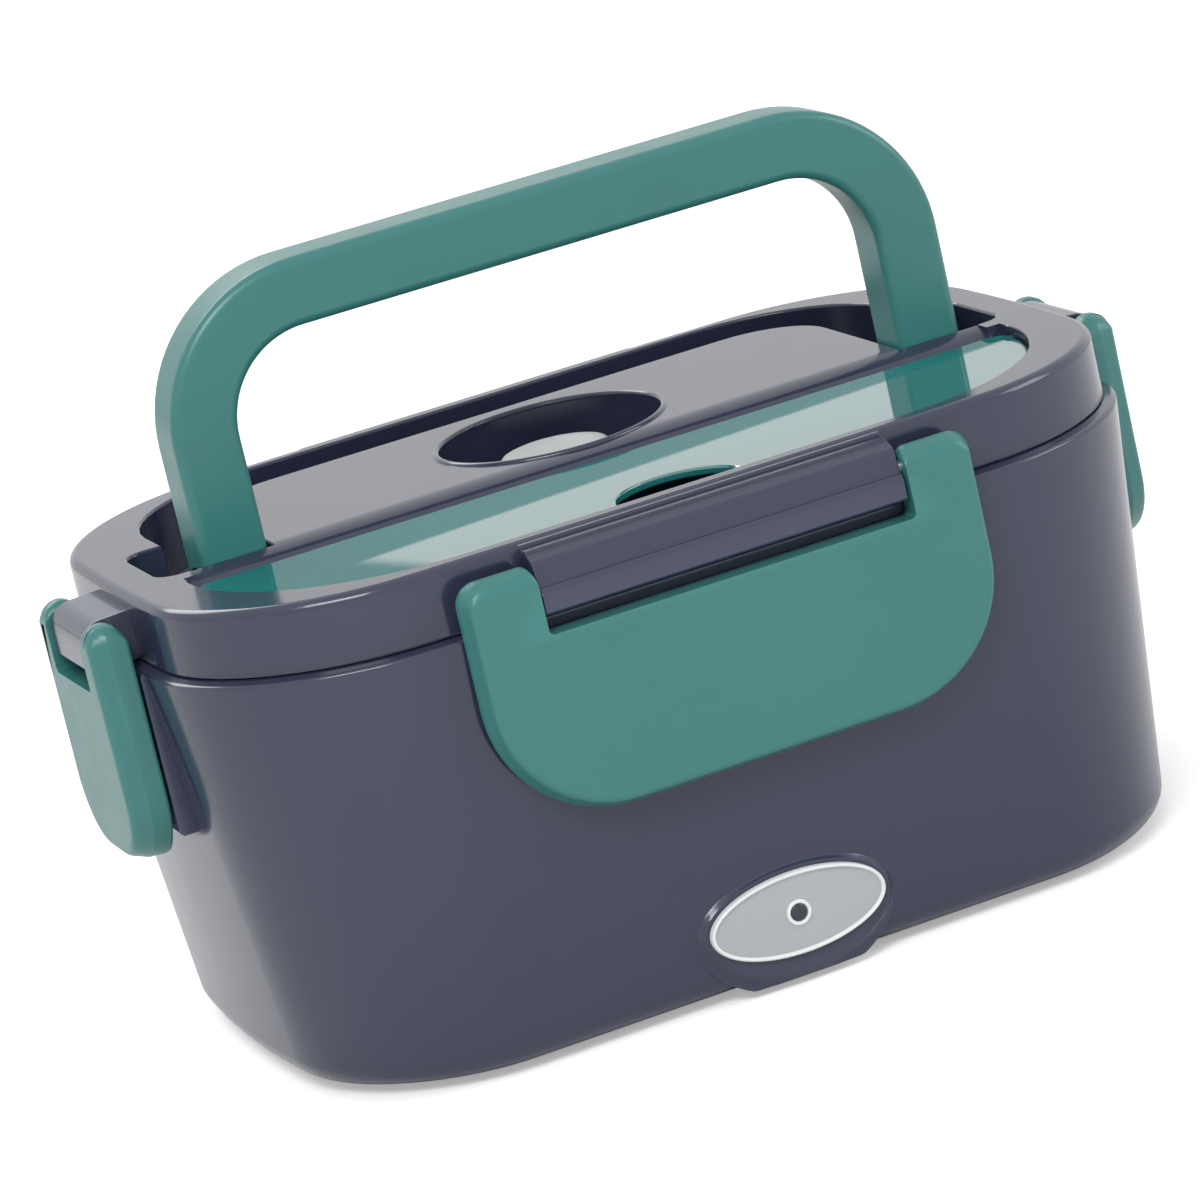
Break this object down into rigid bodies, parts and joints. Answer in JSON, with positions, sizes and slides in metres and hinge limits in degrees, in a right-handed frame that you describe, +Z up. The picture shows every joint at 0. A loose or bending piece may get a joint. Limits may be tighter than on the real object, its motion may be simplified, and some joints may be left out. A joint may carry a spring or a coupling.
{
  "type": "electric lunch box",
  "caption": "Portable heated lunch box: oval tub with a lift-out steel container, lid held by snap latches, fold-down carry handle, steam vent and covered cutlery tray.",
  "frame": {"origin": "middle of the footprint, on the table plane under the rubber feet", "axes": "+Z up, -Y out of the front with the indicator, +X to the right seen from the front"},
  "size_m": [0.243, 0.161, 0.168],
  "materials": {
    "slate_plastic": "glossy dark slate blue-grey",
    "base_plastic": "fine satin texture",
    "teal_plastic": "smooth opaque teal green",
    "tinted_plastic": "clear, tinted green",
    "panel_plastic": "smooth light grey, food grade",
    "bowl_plastic": "smooth translucent white",
    "white_plastic": "smooth white",
    "silver_face": "satin silver",
    "lens_dark": "polished smoked lens",
    "silicone": "soft pale grey silicone",
    "foot_rubber": "matt black",
    "container_steel": "brushed inside, polished rim",
    "cutlery_steel": "polished",
    "pin_steel": "ground",
    "screw_steel": "zinc plated",
    "heater_aluminium": "pressed, satin",
    "heater_ceramic": "ceramic block in film",
    "device_body": "moulded phenolic",
    "inlet_plastic": "black, heat resistant",
    "contact_brass": "nickel-brushed brass",
    "wire_insulation": "silicone sleeved",
    "board": "green circuit board"
  },
  "bodies": {
    "base": {"outer_shell": "slate_plastic", "bottom_cover": "base_plastic", "bottom_screws": "screw_steel", "rubber_feet": "foot_rubber", "heating_plate": "heater_aluminium", "ptc_heater": "heater_ceramic", "heater_clamp": "screw_steel", "heater_screws": "screw_steel", "thermostat": "device_body", "thermal_fuse": "heater_ceramic", "power_inlet": "inlet_plastic", "inlet_pins": "contact_brass", "wiring": "wire_insulation", "indicator_plate": "silver_face", "indicator_bezel": "white_plastic", "led_lens": "lens_dark", "led_board": "board"},
    "container": {"food_container": "container_steel"},
    "bowl": {"side_bowl": "bowl_plastic"},
    "lid": {"lid_shell": "slate_plastic", "lid_inner_panel": "panel_plastic", "lid_seal": "silicone", "cover_hinge_pins": "pin_steel", "handle_pins": "pin_steel", "latch_pins": "pin_steel"},
    "vent": {"vent_plug": "silicone"},
    "cover": {"cutlery_cover": "tinted_plastic"},
    "spoon": {"spoon": "cutlery_steel"},
    "fork": {"fork": "cutlery_steel"},
    "handle": {"handle": "teal_plastic"},
    "front_latch": {"latch_front": "teal_plastic"},
    "rear_latch": {"latch_rear": "teal_plastic"},
    "left_latch": {"latch_left": "teal_plastic"},
    "right_latch": {"latch_right": "teal_plastic"}
  },
  "joints": [
    {"name": "lid_lift", "type": "slide", "parent": "base", "child": "lid", "axis": [0, 0, 1], "range_m": [0, 0.12]},
    {"name": "container_lift", "type": "slide", "parent": "base", "child": "container", "axis": [0, 0, 1], "range_m": [0, 0.06]},
    {"name": "bowl_lift", "type": "slide", "parent": "container", "child": "bowl", "axis": [0, 0, 1], "range_m": [0, 0.03]},
    {"name": "front_latch_hinge", "type": "hinge", "parent": "lid", "child": "front_latch", "pos_m": [0, -0.0762, 0.1023], "axis": [-1, 0, 0], "range_deg": [0, 105]},
    {"name": "rear_latch_hinge", "type": "hinge", "parent": "lid", "child": "rear_latch", "pos_m": [0, 0.0762, 0.1023], "axis": [1, 0, 0], "range_deg": [0, 105]},
    {"name": "left_latch_hinge", "type": "hinge", "parent": "lid", "child": "left_latch", "pos_m": [-0.1172, 0, 0.1023], "axis": [0, 1, 0], "range_deg": [0, 105]},
    {"name": "right_latch_hinge", "type": "hinge", "parent": "lid", "child": "right_latch", "pos_m": [0.1172, 0, 0.1023], "axis": [0, -1, 0], "range_deg": [0, 105]},
    {"name": "handle_hinge", "type": "hinge", "parent": "lid", "child": "handle", "pos_m": [0, -0.0013, 0.1015], "axis": [-1, 0, 0], "range_deg": [0, 90]},
    {"name": "cover_hinge", "type": "hinge", "parent": "lid", "child": "cover", "pos_m": [0, -0.017, 0.1066], "axis": [-1, 0, 0], "range_deg": [0, 85]},
    {"name": "spoon_lift", "type": "slide", "parent": "lid", "child": "spoon", "axis": [0, 0, 1], "range_m": [0, 0.018]},
    {"name": "fork_lift", "type": "slide", "parent": "lid", "child": "fork", "axis": [0, 0, 1], "range_m": [0, 0.018]},
    {"name": "vent_lift", "type": "slide", "parent": "lid", "child": "vent", "axis": [0, 0, 1], "range_m": [0, 0.014]}
  ],
  "couplings": [
    {"joint": "container_lift", "follows": "lid_lift", "ratio": 0.5},
    {"joint": "bowl_lift", "follows": "lid_lift", "ratio": 0.25},
    {"joint": "spoon_lift", "follows": "cover_hinge", "m_per_rad": 0.012},
    {"joint": "fork_lift", "follows": "cover_hinge", "m_per_rad": 0.012}
  ]
}
